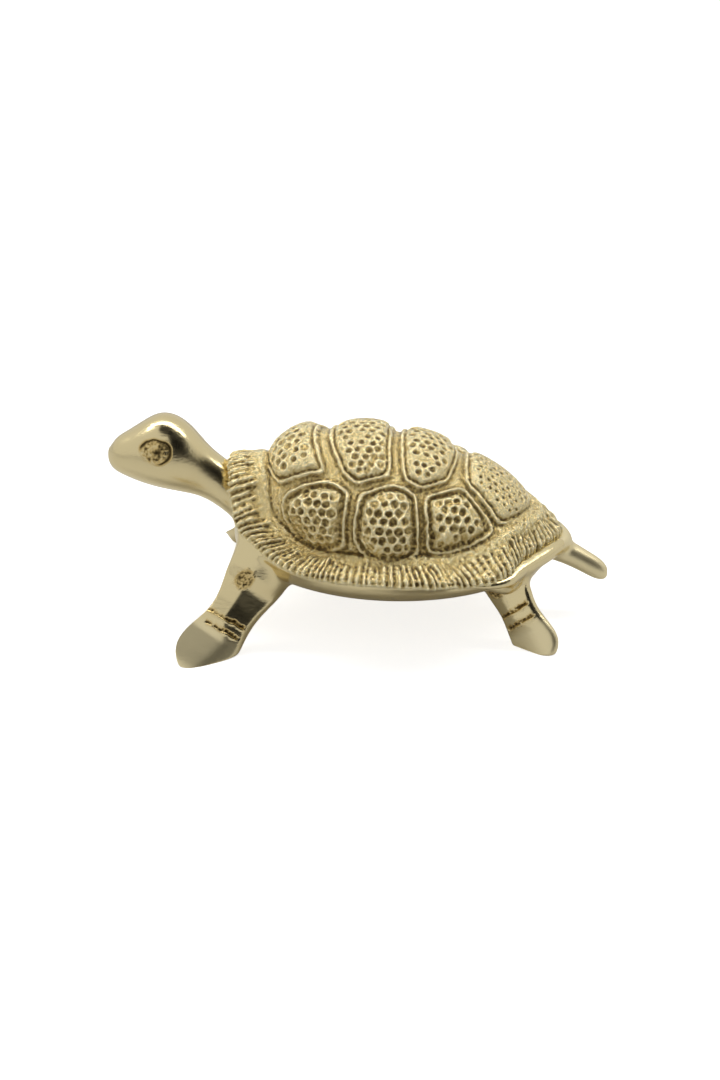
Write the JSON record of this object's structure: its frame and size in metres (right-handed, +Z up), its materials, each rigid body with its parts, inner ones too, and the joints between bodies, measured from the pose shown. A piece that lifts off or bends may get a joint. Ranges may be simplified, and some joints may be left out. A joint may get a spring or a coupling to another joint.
{
  "type": "turtle figurine",
  "caption": "Cast brass turtle ornament, walking with its head raised: domed shell of raised scutes over a ribbed skirt, flat splayed legs, short tapered tail.",
  "frame": {"origin": "on the ground plane under the middle of the figure's overall length and width", "axes": "+X towards the tail, along the length; the head points to -X; +Y to the turtle's right; +Z up"},
  "size_m": [0.15, 0.0832, 0.0618],
  "materials": {
    "shell_brass": "as-cast brass, satin, with brown patina left in the recesses and rubbed bright edges",
    "body_brass": "hand-polished pale brass with fine brushing and an unpolished patch at each leg's root",
    "screw_brass": "turned brass"
  },
  "bodies": {
    "root": {"carapace": "shell_brass", "belly_pan": "body_brass", "head_and_neck": "body_brass", "front_left_leg": "body_brass", "front_right_leg": "body_brass", "rear_left_leg": "body_brass", "rear_right_leg": "body_brass", "tail": "body_brass", "shell_screws": "screw_brass"}
  },
  "joints": []
}
